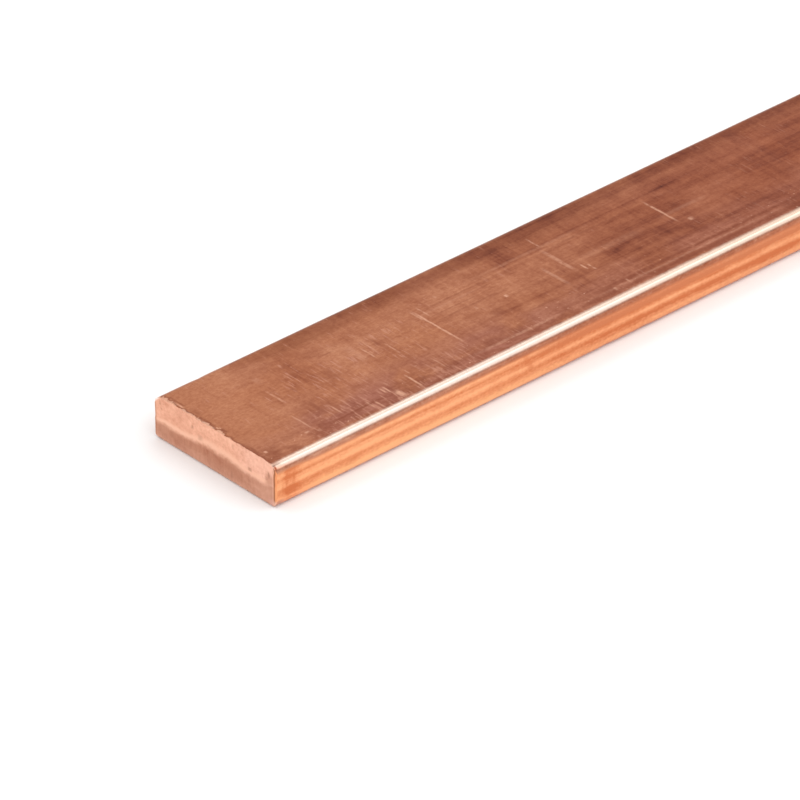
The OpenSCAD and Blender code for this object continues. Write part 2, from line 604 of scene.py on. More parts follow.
class EffectBook:
    """How each shared effect is made."""

    @classmethod
    def build(cls, effect: Effect) -> bpy.types.NodeTree:
        """Builds the group for one effect."""
        maker = {Effect.GRAIN: cls.grain, Effect.DRAW_LINES: cls.draw_lines,
                 Effect.CROSS_MARKS: cls.cross_marks, Effect.SCRATCH: cls.scratch,
                 Effect.SPECKS: cls.specks}[effect]
        return maker(effect.value)

    @staticmethod
    def start(name: str, inputs: dict[str, float | None],
              outputs: tuple[str, ...]) -> tuple[Graph, bpy.types.Node, bpy.types.Node]:
        """Makes an empty group.

        Args:
            name: the group's name.
            inputs: socket name to its default; None makes a vector socket.
            outputs: names of the value sockets that it puts out.
        Returns:
            Its graph, its input node and its output node.
        """
        tree = bpy.data.node_groups.new(name, "ShaderNodeTree")
        for socket, default in inputs.items():
            kind = "NodeSocketVector" if default is None else "NodeSocketFloat"
            made = tree.interface.new_socket(socket, in_out="INPUT", socket_type=kind)
            if default is not None:
                made.default_value = default
        for socket in outputs:
            tree.interface.new_socket(socket, in_out="OUTPUT", socket_type="NodeSocketFloat")
        return Graph(tree), tree.nodes.new("NodeGroupInput"), tree.nodes.new("NodeGroupOutput")

    @classmethod
    def grain(cls, name: str) -> bpy.types.NodeTree:
        """Noise of five sizes: fine grain, nicks along the edges, patches, clouds and haze."""
        sizes = {"Fine": ((1.6, 2.2, 2.2), 3.0, 0.6, 0.0), "Nick": ((1.1, 0.5, 0.5), 3.0, 0.7, 0.0),
                 "Patch": ((0.28, 0.6, 0.6), 3.0, 0.55, 0.2),
                 "Cloud": ((0.07, 0.22, 0.22), 4.0, 0.62, 0.35),
                 "Haze": ((0.06, 0.12, 0.12), 2.5, 0.5, 0.4)}
        graph, given, result = cls.start(name, {"Place": None}, tuple(sizes))
        for output, settings in sizes.items():
            graph.feed(result.inputs[output], graph.noise(given.outputs["Place"], *settings))
        return graph.tree

    @classmethod
    def draw_lines(cls, name: str) -> bpy.types.NodeTree:
        """Lines that the die leaves along the bar, broad and fine."""
        graph, given, result = cls.start(name, {"Place": None}, ("Broad", "Hair", "Streak"))
        place = given.outputs["Place"]
        graph.feed(result.inputs["Broad"], graph.noise(place, (0.012, 0.75, 0.75), 2.0, 0.5))
        streaks = graph.noise(place, (0.022, 1.3, 1.3), 2.0, 0.55)
        graph.feed(result.inputs["Streak"], graph.ramp(streaks, 0.57, 0.72))
        graph.feed(result.inputs["Hair"], graph.noise(place, (0.03, 4.5, 4.5), 2.0, 0.6))
        return graph.tree

    @classmethod
    def cross_marks(cls, name: str) -> bpy.types.NodeTree:
        """Short rubbed marks across the bar, in patches: stretched noise past a threshold.

        Crowd adds to the noise, so that marks stand closer and brighter where it is high.
        """
        graph, given, result = cls.start(name, {"Place": None, "Crowd": 0.0},
                                         ("Light", "Dark", "Weave", "Wipe", "Dots"))
        place, crowd = given.outputs["Place"], given.outputs["Crowd"]
        graph.feed(result.inputs["Weave"], graph.noise(place, (1.3, 0.12, 0.12), 3.0, 0.6))
        graph.feed(result.inputs["Wipe"], graph.noise(place, (0.28, 0.06, 0.06), 2.0, 0.5, 0.2))
        dots = graph.noise(place, (1.5, 1.9, 1.9), 1.0, 0.4)
        graph.feed(result.inputs["Dots"], graph.ramp(dots, 0.70, 0.80))
        lines = graph.noise(place, (2.3, 0.34, 0.34), 3.0, 0.6)
        dark = graph.noise(place, (1.5, 0.14, 0.3), 2.0, 0.5)
        patches = graph.noise(place, (0.16, 0.3, 0.3), 2.0, 0.6)
        patches = graph.ramp(graph.plus(patches, crowd), 0.42, 0.64)
        lines = graph.ramp(graph.math("MULTIPLY_ADD", crowd, 0.5, lines), 0.56, 0.74)
        graph.feed(result.inputs["Light"], graph.times(lines, patches))
        graph.feed(result.inputs["Dark"], graph.times(graph.ramp(dark, 0.58, 0.74), patches))
        return graph.tree

    @classmethod
    def scratch(cls, name: str) -> bpy.types.NodeTree:
        """One mark along the place's second axis, thinning at its tips and broken by noise."""
        inputs = {"Place": None, "Along": 0.0, "Across": 0.0, "Half Length": 4.0,
                  "Half Width": 0.12}
        graph, given, result = cls.start(name, inputs, ("Mask",))
        place = given.outputs["Place"]
        x, y, _ = graph.axes(place)
        wander = graph.centred(graph.noise(place, (0.02, 0.35, 0.0), 1.0, 0.5), 0.3)
        side = graph.math("DIVIDE", graph.apart(graph.plus(x, wander), given.outputs["Along"]),
                          given.outputs["Half Width"])
        run = graph.math("DIVIDE", graph.apart(y, given.outputs["Across"]),
                         given.outputs["Half Length"])
        line = graph.ramp(side, 1.0, 0.15)
        tips = graph.ramp(run, 1.0, 0.35)
        broken = graph.ramp(graph.noise(place, (0.8, 0.9, 0.0), 3.0, 0.65), 0.30, 0.58, 0.25, 1.0)
        graph.feed(result.inputs["Mask"], graph.times(line, tips, broken))
        return graph.tree

    @classmethod
    def specks(cls, name: str) -> bpy.types.NodeTree:
        """Small dark specks and dents, sparse: cells of a Voronoi pattern near their centres."""
        graph, given, result = cls.start(name, {"Place": None, "Size": 1.0, "Share": 0.3},
                                         ("Mask",))
        cells = graph.node("ShaderNodeTexVoronoi", {"Vector": given.outputs["Place"],
                                                    "Scale": given.outputs["Size"]})
        chosen = graph.axes(cells.outputs["Color"])[0]
        near = graph.ramp(cells.outputs["Distance"], 0.22, 0.08)
        some = graph.math("LESS_THAN", chosen, given.outputs["Share"])
        graph.feed(result.inputs["Mask"], graph.times(near, some))
        return graph.tree


@dataclass(frozen=True)
class Mark:
    """A scratch, stain or wrinkle, in millimetres, that runs along the second axis of its face.

    On the upper face along is measured from the sheared end and across from the middle of the
    width. For the marks that run along the bar the two are swapped, on a narrow side across is
    the height, and on the sheared end they are the place across the width and the height.
    """

    along: float
    across: float
    length: float
    width: float
    strength: float


@dataclass(frozen=True)
class ReflectionBand:
    """A painted reflection: a band along the narrow sides, by height in millimetres; a negative
    strength is paler.
    """

    height: float
    width: float
    strength: float


@dataclass(frozen=True)
class Finish:
    """What the copper finishes have in common."""

    name: str
    roughness: float

    def graph(self) -> tuple[bpy.types.Material, Graph, bpy.types.Node, Socket]:
        """Starts the material.

        Returns:
            The material, its graph, its shader node, and the place of a point in millimetres
            from the middle of the sheared end's lower edge.
        """
        material = bpy.data.materials.new(self.name)
        material.use_nodes = True
        graph = Graph(material.node_tree)
        shader = material.node_tree.nodes["Principled BSDF"]
        shader.inputs["Metallic"].default_value = 1.0
        shader.inputs["Roughness"].default_value = self.roughness
        there = graph.node("ShaderNodeTexCoord").outputs["Object"]
        scaled = graph.stretch(there, (1.0 / MM, 1.0 / MM, 1.0 / MM))
        length = (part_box("bar")[1].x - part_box("bar")[0].x) / MM
        moved = graph.node("ShaderNodeVectorMath", {0: scaled, 1: (length / 2.0, 0.0, 0.0)},
                           operation="ADD")
        return material, graph, shader, moved.outputs[0]

    @staticmethod
    def relief(graph: Graph, shader: bpy.types.Node, height: Socket, strength: float,
               distance: float) -> None:
        """Feeds a bump of the given height pattern to the shader."""
        bump = graph.node("ShaderNodeBump", {"Height": height, "Strength": strength,
                                             "Distance": distance})
        graph.feed(shader.inputs["Normal"], bump.outputs["Normal"])

    @staticmethod
    def mask(graph: Graph, place: Socket, marks: tuple[Mark, ...]) -> Socket:
        """Where any of the marks lies, each as strong as it says."""
        total: object = 0.0
        for mark in marks:
            made = Effect.SCRATCH.use(graph, {"Place": place, "Along": mark.along,
                                              "Across": mark.across,
                                              "Half Length": mark.length / 2.0,
                                              "Half Width": mark.width / 2.0})
            total = graph.math("MAXIMUM", graph.times(made.outputs["Mask"], mark.strength), total)
        return total


@dataclass(frozen=True)
class DrawnSkin(Finish):
    """Long faces as the die left them: a brown film above and below, bright sides and edges. The
    brown against the bright sides is partly film and partly painted shade, and the sides and edges
    carry painted reflections and a painted highlight.
    """

    # brown film of the wide faces, partly painted shade against the bright sides
    film_near: Colour = (0.460, 0.170, 0.080)
    # darker film far from the sheared end: painted shade
    film_shaded_far: Colour = (0.295, 0.076, 0.030)
    film_border: Colour = (0.205, 0.045, 0.012)
    film_mauve: Colour = (0.325, 0.105, 0.064)
    film_light: Colour = (0.600, 0.280, 0.185)
    film_dark: Colour = (0.235, 0.055, 0.022)
    bare_scratch: Colour = (0.780, 0.420, 0.280)
    # bright side colours, with painted reflections in them
    side_pale: Colour = (0.955, 0.455, 0.228)
    # paler lower side: painted light
    side_painted_light: Colour = (0.970, 0.530, 0.265)
    side_deep: Colour = (0.640, 0.195, 0.075)
    # duller far upper side: painted shade
    side_painted_shade: Colour = (0.585, 0.215, 0.105)
    # painted reflection on the rounded lower corner
    side_corner_reflection: Colour = (0.550, 0.260, 0.190)
    # pale bare edge with a painted highlight, then painted grey and dark reflections
    bare_edge_and_highlight: Colour = (0.970, 0.790, 0.665)
    bare_edge_and_highlight_far: Colour = (0.950, 0.720, 0.560)
    edge_grey_reflection: Colour = (0.500, 0.475, 0.430)
    edge_grey_reflection_far: Colour = (0.470, 0.415, 0.345)
    edge_start: Colour = (0.600, 0.400, 0.310)
    edge_dark_reflection: Colour = (0.500, 0.215, 0.130)
    edge_dark_reflection_far: Colour = (0.430, 0.150, 0.080)
    half_width: float = 15.0
    thickness: float = 8.0
    edge_radius: float = 1.4
    film_wrap: float = 0.95
    bare_roughness: float = 0.20
    bruise_at: float = 58.2
    # painted reflection bands on the narrow sides
    reflection_bands: tuple[ReflectionBand, ...] = (
        ReflectionBand(5.15, 0.45, 0.80),
        ReflectionBand(2.85, 0.70, 0.65),
        ReflectionBand(3.85, 0.50, -0.60),
        ReflectionBand(1.35, 0.90, -1.00),
        ReflectionBand(5.85, 0.30, -0.30),
        ReflectionBand(6.45, 0.35, 0.50),
    )
    light_marks: tuple[Mark, ...] = (
        Mark(48.8, -0.4, 16.0, 0.62, 0.75),
        Mark(48.85, -2.2, 5.0, 0.55, 0.70),
        Mark(48.4, 4.4, 4.5, 0.70, 0.50),
        Mark(50.1, 4.6, 4.5, 0.50, 0.50),
        Mark(54.8, 6.8, 1.1, 0.70, 0.35),
        Mark(57.6, -0.4, 1.2, 0.90, 0.40),
        Mark(64.0, -0.93, 1.1, 1.00, 0.90),
        Mark(74.3, -2.0, 9.0, 1.10, 0.35),
        Mark(78.2, 1.5, 11.0, 1.30, 0.38),
        Mark(78.9, 8.5, 4.5, 0.60, 0.45),
        Mark(80.0, -2.8, 2.6, 0.60, 0.65),
        Mark(81.0, -3.7, 2.8, 0.60, 0.60),
        Mark(79.0, -11.6, 1.3, 1.00, 0.55),
        Mark(82.4, -11.2, 2.0, 0.60, 0.45),
        Mark(102.0, 1.7, 10.5, 0.75, 0.65),
        Mark(104.3, -3.5, 1.4, 1.40, 0.60),
        Mark(33.0, 2.5, 7.0, 2.40, 0.22),
        Mark(34.7, 1.0, 5.0, 0.55, 0.50),
        Mark(36.2, 3.0, 5.0, 0.50, 0.25),
        Mark(38.7, -0.6, 5.0, 0.55, 0.40),
        Mark(14.3, 1.2, 6.0, 0.60, 0.40),
        Mark(15.4, 6.8, 3.0, 2.00, 0.22),
        Mark(12.4, -7.4, 6.5, 0.50, 0.50),
        Mark(12.9, -11.2, 0.9, 1.00, 0.60),
        Mark(11.0, -10.3, 0.7, 1.30, 0.60),
        Mark(19.1, -8.0, 4.5, 0.50, 0.50),
        Mark(24.3, -11.0, 3.4, 0.55, 0.45),
        Mark(25.5, -12.0, 3.0, 0.60, 0.50),
        Mark(28.6, -9.2, 2.4, 0.45, 0.60),
        Mark(29.3, -9.3, 2.8, 0.50, 0.65),
        Mark(30.2, -11.7, 3.4, 1.90, 0.70),
        Mark(34.5, -10.3, 6.0, 0.60, 0.75),
        Mark(35.5, -7.5, 1.6, 0.50, 0.40),
        Mark(41.3, -9.0, 5.0, 0.50, 0.35),
        Mark(0.95, 10.4, 4.6, 0.50, 0.90),
        Mark(0.55, 0.9, 0.9, 0.55, 0.95),
        Mark(0.95, 0.4, 0.8, 0.50, 0.95),
        Mark(1.30, 0.1, 0.6, 0.45, 0.80),
        Mark(0.55, 3.2, 2.6, 0.75, 0.85),
        Mark(0.50, 5.6, 1.4, 0.60, 0.70),
        Mark(2.0, -10.3, 0.9, 0.90, 0.75),
    )
    dark_marks: tuple[Mark, ...] = (
        Mark(17.2, -5.9, 5.5, 1.30, 0.60),
        Mark(25.5, 0.3, 5.5, 4.50, 0.22),
        Mark(37.8, 2.7, 4.0, 0.90, 0.40),
        Mark(43.0, -3.8, 3.2, 0.60, 0.45),
        Mark(59.5, -3.8, 2.6, 4.00, 0.45),
        Mark(76.0, -3.8, 5.5, 1.00, 0.35),
        Mark(77.4, -6.5, 8.0, 0.90, 0.50),
        Mark(86.5, -9.0, 2.0, 1.60, 0.40),
        Mark(70.0, 11.7, 0.9, 0.90, 0.50),
        Mark(102.9, -3.1, 1.0, 1.60, 0.45),
        Mark(3.0, -11.5, 5.5, 3.60, 0.45),
        Mark(1.45, 11.0, 5.5, 0.60, 0.60),
        Mark(1.05, 3.0, 4.5, 0.90, 0.70),
        Mark(1.35, -0.9, 2.4, 0.90, 0.70),
        Mark(0.90, -9.0, 6.0, 1.20, 0.60),
        Mark(1.6, 6.5, 4.0, 1.40, 0.35),
    )
    long_light: tuple[Mark, ...] = (
        Mark(-11.2, 57.0, 24.0, 1.10, 0.32),
        Mark(-11.4, 95.0, 60.0, 0.90, 0.20),
        Mark(4.0, 55.0, 20.0, 1.10, 0.14),
        Mark(0.2, 106.0, 14.0, 1.60, 0.14),
        Mark(-0.6, 88.0, 20.0, 2.60, 0.12),
        Mark(6.8, 76.0, 34.0, 1.20, 0.14),
    )
    long_dark: tuple[Mark, ...] = (
        Mark(-10.8, 20.5, 16.0, 0.80, 0.60),
        Mark(-10.4, 108.0, 96.0, 1.20, 0.85),
        Mark(-12.4, 108.0, 110.0, 1.50, 0.75),
        Mark(0.9, 57.0, 17.0, 0.70, 0.38),
        Mark(2.5, 56.0, 15.0, 0.60, 0.30),
        Mark(5.0, 58.0, 19.0, 0.80, 0.38),
        Mark(5.5, 90.0, 24.0, 1.00, 0.55),
        Mark(1.0, 92.0, 26.0, 0.80, 0.30),
        Mark(-3.2, 98.5, 10.0, 0.60, 0.55),
        Mark(-7.1, 66.0, 8.0, 0.90, 0.42),
        Mark(5.5, 29.0, 4.5, 0.60, 0.40),
        Mark(12.3, 65.0, 70.0, 1.50, 0.30),
    )
    wrinkles: tuple[Mark, ...] = (
        Mark(2.45, 5.0, 3.8, 0.90, 0.60),
        Mark(3.90, 4.4, 3.2, 1.00, 0.55),
        Mark(1.50, 3.2, 3.4, 0.80, 0.35),
        Mark(2.70, 2.3, 2.4, 0.80, 0.45),
        Mark(5.20, 2.6, 1.8, 0.90, 0.25),
    )
    corner_tick: Mark = Mark(0.30, -14.45, 1.2, 0.75, 1.0)

    def material(self) -> bpy.types.Material:
        """Builds the material: film and painted shade on the wide faces, bare sides with painted
        reflections, and worn edges between with a painted highlight.
        """
        material, graph, shader, place = self.graph()
        x, y, z = graph.axes(place)
        upper = graph.math("GREATER_THAN", z, self.thickness / 2.0)
        level = graph.apart(z, self.thickness / 2.0)
        grain = Effect.GRAIN.use(graph, {"Place": place})
        lines = Effect.DRAW_LINES.use(graph, {"Place": place})
        marks = Effect.CROSS_MARKS.use(graph, {"Place": place, "Crowd": self.crowd(graph, x, y)})
        turned = graph.pair(y, x)
        stained = graph.math("MAXIMUM", self.mask(graph, place, self.dark_marks),
                             self.mask(graph, turned, self.long_dark))
        scored = graph.math("MAXIMUM", self.mask(graph, place, self.light_marks),
                            self.mask(graph, turned, self.long_light))
        scored = graph.times(scored, upper)
        film = self.film(graph, x, y, grain, lines, marks)
        film = graph.blend(graph.times(stained, upper), film, self.film_dark)
        film = graph.blend(scored, film, self.bare_scratch)
        film = self.lip(graph, film, x, y, z)
        on_flat = self.filmed(graph, x, y, grain)
        bent = graph.times(self.turn(graph, x, level), upper)
        colour = graph.blend(bent, self.side(graph, x, z, grain, lines),
                             self.edge(graph, x, level, grain))
        colour = graph.blend(on_flat, colour, film)
        ticked = graph.times(self.mask(graph, place, (self.corner_tick,)),
                             graph.ramp(z, 7.0, 7.4))
        graph.feed(shader.inputs["Base Color"], graph.blend(ticked, colour, self.film_dark))
        satin = graph.math("MULTIPLY_ADD", grain.outputs["Cloud"], 0.16, 0.30)
        graph.feed(shader.inputs["Roughness"], graph.mix(on_flat, self.bare_roughness, satin))
        height = graph.plus(graph.times(lines.outputs["Hair"], 0.5),
                            graph.times(grain.outputs["Fine"], 0.25), graph.times(scored, -0.8))
        self.relief(graph, shader, graph.times(height, on_flat), 0.35, 0.02 * MM)
        return material

    @staticmethod
    def crowd(graph: Graph, x: Socket, y: Socket) -> Socket:
        """Where the rubbed marks crowd: along the side at -Y and over the middle."""
        near = graph.times(graph.ramp(y, -4.5, -8.5, 0.0, 0.13), graph.ramp(x, 8.0, 18.0),
                           graph.ramp(x, 60.0, 38.0, 0.3, 1.0))
        centre = graph.times(graph.ramp(graph.math("ABSOLUTE", y), 8.0, 3.0, 0.0, 0.10),
                             graph.ramp(x, 10.0, 20.0), graph.ramp(x, 56.0, 40.0))
        return graph.math("MAXIMUM", near, centre)

    def filmed(self, graph: Graph, x: Socket, y: Socket, grain: bpy.types.Node) -> Socket:
        """Where the film lies: up to a worn border, which wraps further round the edge at +Y."""
        wear = graph.centred(grain.outputs["Nick"], 0.5)
        reach = graph.plus(graph.math("ABSOLUTE", y), wear,
                           graph.ramp(y, -1.0, 1.0, 0.0, -self.film_wrap),
                           graph.ramp(x, 7.0, 1.5, 0.0, -0.10),
                           graph.ramp(x, 75.0, 45.0, 0.0, -0.13))
        flat_end = self.half_width - self.edge_radius
        return graph.ramp(reach, flat_end + 0.50, flat_end - 0.60)

    def turn(self, graph: Graph, x: Socket, level: Socket) -> Socket:
        """How far a point has turned off the narrow side; near the end that begins later."""
        start = self.thickness / 2.0 - self.edge_radius
        return graph.ramp(graph.plus(level, graph.ramp(x, 9.0, 4.0, 0.0, -0.30)),
                          start - 0.65, start + 0.15)

    def film(self, graph: Graph, x: Socket, y: Socket, grain: bpy.types.Node,
             lines: bpy.types.Node, marks: bpy.types.Node) -> Socket:
        """Colour of the brown film on the wide faces. It darkens away from the sheared end as
        painted shade.
        """
        # painted shade: the film darkens along the bar
        shade_along_bar = graph.ramp(x, 30.0, 130.0)
        colour = graph.blend(shade_along_bar, self.film_near, self.film_shaded_far)
        uneven = graph.centred(grain.outputs["Cloud"], 6.0)
        border = graph.times(graph.ramp(graph.plus(y, uneven), 8.0, 13.5),
                             graph.ramp(x, 10.0, 32.0, 0.10, 0.62))
        colour = graph.blend(border, colour, self.film_border)
        mauve = graph.times(graph.ramp(y, -2.0, -9.5, 0.20, 0.95),
                            graph.ramp(grain.outputs["Haze"], 0.38, 0.56),
                            graph.ramp(x, 8.0, 16.0, 0.35, 1.0),
                            graph.ramp(x, 48.0, 75.0, 1.0, 0.55))
        colour = graph.blend(mauve, colour, self.film_mauve)
        edge_dark = graph.times(graph.ramp(y, -7.0, -12.5, 0.0, 0.55),
                                graph.ramp(grain.outputs["Patch"], 0.64, 0.40))
        colour = graph.blend(edge_dark, colour, self.film_dark)
        fresh = graph.times(graph.ramp(x, 14.0, 6.0, 1.0, 0.45),
                            graph.ramp(x, 45.0, 80.0, 1.0, 1.45))
        drawn = graph.times(graph.centred(lines.outputs["Broad"], 1.0),
                            graph.ramp(x, 35.0, 75.0, 0.30, 0.80))
        coarse = graph.tones((grain.outputs["Haze"], 1.15), (grain.outputs["Cloud"], 0.50),
                             (grain.outputs["Patch"], 0.45), (marks.outputs["Weave"], 0.42),
                             (marks.outputs["Wipe"], 0.65))
        coarse = graph.math("MULTIPLY_ADD", graph.plus(coarse, drawn, -1.0), fresh, 1.0)
        fine = graph.tones((grain.outputs["Fine"], 0.95), (lines.outputs["Hair"], 0.22))
        streaks = graph.times(lines.outputs["Streak"], graph.ramp(x, 30.0, 75.0, -0.04, -0.16))
        tone = graph.plus(graph.times(coarse, fine), streaks,
                          graph.times(marks.outputs["Dark"], -0.20))
        colour = graph.toned(colour, tone)
        rubbed = graph.times(marks.outputs["Light"], graph.ramp(x, 75.0, 45.0, 0.3, 0.6))
        colour = graph.blend(rubbed, colour, self.film_light)
        dots = graph.times(marks.outputs["Dots"], graph.ramp(y, -5.0, -10.0, 0.10, 0.6))
        return graph.blend(dots, colour, self.bare_scratch)

    def lip(self, graph: Graph, film: Socket, x: Socket, y: Socket, z: Socket) -> Socket:
        """Turned-up metal along the sheared end: a ragged bright line, partly bare metal and partly
        a painted highlight, with a painted shadow behind it.
        """
        across = graph.pair(x, y)
        jagged = graph.noise(across, (0.25, 0.60, 1.0), 4.0, 0.66)
        flaky = graph.ramp(graph.noise(across, (0.05, 0.55, 1.0), 2.0, 0.6), 0.35, 0.6, 0.45, 1.0)
        reach = graph.times(graph.ramp(y, -7.0, 3.0, 0.45, 1.15), flaky)
        depth = graph.math("MULTIPLY_ADD", graph.ramp(jagged, 0.3, 0.72, 0.05, 0.95), reach, 0.12)
        near = graph.math("SUBTRACT", x, depth)
        upper = graph.math("GREATER_THAN", z, self.thickness - 0.4)
        # partly bare metal, partly painted highlight
        bright = graph.times(graph.ramp(near, 0.18, -0.10, 0.0, 0.85), upper)
        # painted shadow behind the burr
        shade = graph.times(graph.ramp(near, 0.66, 0.24, 0.0, 0.58), upper)
        film = graph.blend(shade, film, self.film_dark)
        return graph.blend(bright, film, self.bare_scratch)

    def side(self, graph: Graph, x: Socket, z: Socket, grain: bpy.types.Node,
             lines: bpy.types.Node) -> Socket:
        """Colour of the narrow sides: painted reflection bands along the bar, paler and deeper
        orange. The paler lower part is painted light, and the deeper orange farther from the
        sheared end, at the lowest edge and over the far upper part is painted shade.
        """
        tone = graph.tones((lines.outputs["Broad"], 1.1), (grain.outputs["Cloud"], 0.7),
                           (lines.outputs["Hair"], 0.5), (grain.outputs["Fine"], 1.0),
                           (grain.outputs["Patch"], 0.6))
        height = graph.plus(z, graph.centred(grain.outputs["Cloud"], 0.5))
        bands = (graph.ramp(graph.apart(height, line.height), line.width, 0.1 * line.width,
                            0.0, 0.5 * line.strength) for line in self.reflection_bands)
        # painted shade: deeper farther from the sheared end, at the lowest edge and over the far
        # upper part
        tone = graph.plus(tone, graph.ramp(x, 40.0, 75.0, -0.70, -0.32),
                          graph.ramp(z, 0.9, 0.4, 0.0, 0.75),
                          graph.times(graph.ramp(x, 52.0, 72.0, 0.0, 0.30),
                                      graph.ramp(z, 4.4, 5.4)),
                          *bands, graph.ramp(x, 6.5, 3.0, 0.0, 0.42),
                          graph.ramp(x, 2.5, 1.2, 0.0, -0.50))
        tone = graph.math("MAXIMUM", graph.math("MINIMUM", tone, 1.0), 0.0)
        # painted light: the lower part of the side is paler
        low = graph.times(graph.ramp(z, 2.7, 1.7), graph.ramp(x, 70.0, 40.0, 0.4, 0.9),
                          graph.ramp(x, 4.0, 11.0))
        colour = graph.blend(low, self.side_pale, self.side_painted_light)
        colour = graph.blend(tone, colour, self.side_deep)
        # painted shade: the far upper part of the side is duller
        dull = graph.times(graph.ramp(x, 50.0, 75.0, 0.0, 0.55), graph.ramp(z, 4.3, 5.2))
        colour = graph.blend(dull, colour, self.side_painted_shade)
        # painted reflection on the rounded lower corner next to the sheared end
        corner_reflection = graph.times(graph.ramp(x, 2.4, 0.9, 0.0, 0.8), graph.ramp(z, 1.8, 1.1))
        colour = graph.blend(corner_reflection, colour, self.side_corner_reflection)
        jaws = self.mask(graph, graph.pair(x, z), self.wrinkles)
        middle = graph.math("MULTIPLY_ADD", z, -0.5, self.bruise_at)
        bruise = graph.times(graph.ramp(graph.apart(x, middle), 0.9, 0.2, 0.0, 0.5),
                             graph.ramp(z, 2.8, 3.8))
        return graph.blend(graph.math("MAXIMUM", jaws, bruise), colour, self.side_deep)

    def edge(self, graph: Graph, x: Socket, level: Socket, grain: bpy.types.Node) -> Socket:
        """Colour round the edge radius: a painted dark reflection below, a painted grey reflection,
        and pale bare metal with a painted highlight on the crest above, fading in from a muted
        colour near the sheared end.
        """
        half = self.thickness / 2.0
        narrowed = graph.plus(level, graph.ramp(x, 7.0, 1.5, 0.0, -0.16))
        rise = graph.ramp(narrowed, half - 0.96, half - 0.20)
        # painted highlight on the crest
        crest = graph.ramp(level, half - 0.35, half - 0.10)
        fine = graph.centred(grain.outputs["Fine"], 0.3)
        far = graph.ramp(x, 40.0, 130.0)
        # painted grey reflection below the crest; the crest's painted highlight dims farther along
        worn = graph.blend(far, self.edge_grey_reflection, self.edge_grey_reflection_far)
        metal = graph.blend(crest, worn, graph.blend(far, self.bare_edge_and_highlight, self.bare_edge_and_highlight_far))
        start = graph.ramp(graph.math("MULTIPLY_ADD", fine, 3.0, x), 2.6, 0.6, 0.0, 0.8)
        metal = graph.blend(start, metal, self.edge_start)
        tone = graph.tones((grain.outputs["Patch"], 1.2), (grain.outputs["Fine"], 0.9),
                           (grain.outputs["Cloud"], 0.6))
        # painted dark reflection on the lower part of the edge radius
        fringe = graph.blend(graph.ramp(x, 10.0, 70.0), self.edge_dark_reflection, self.edge_dark_reflection_far)
        fringe = graph.toned(fringe, tone)
        return graph.blend(graph.plus(rise, fine), fringe, metal)


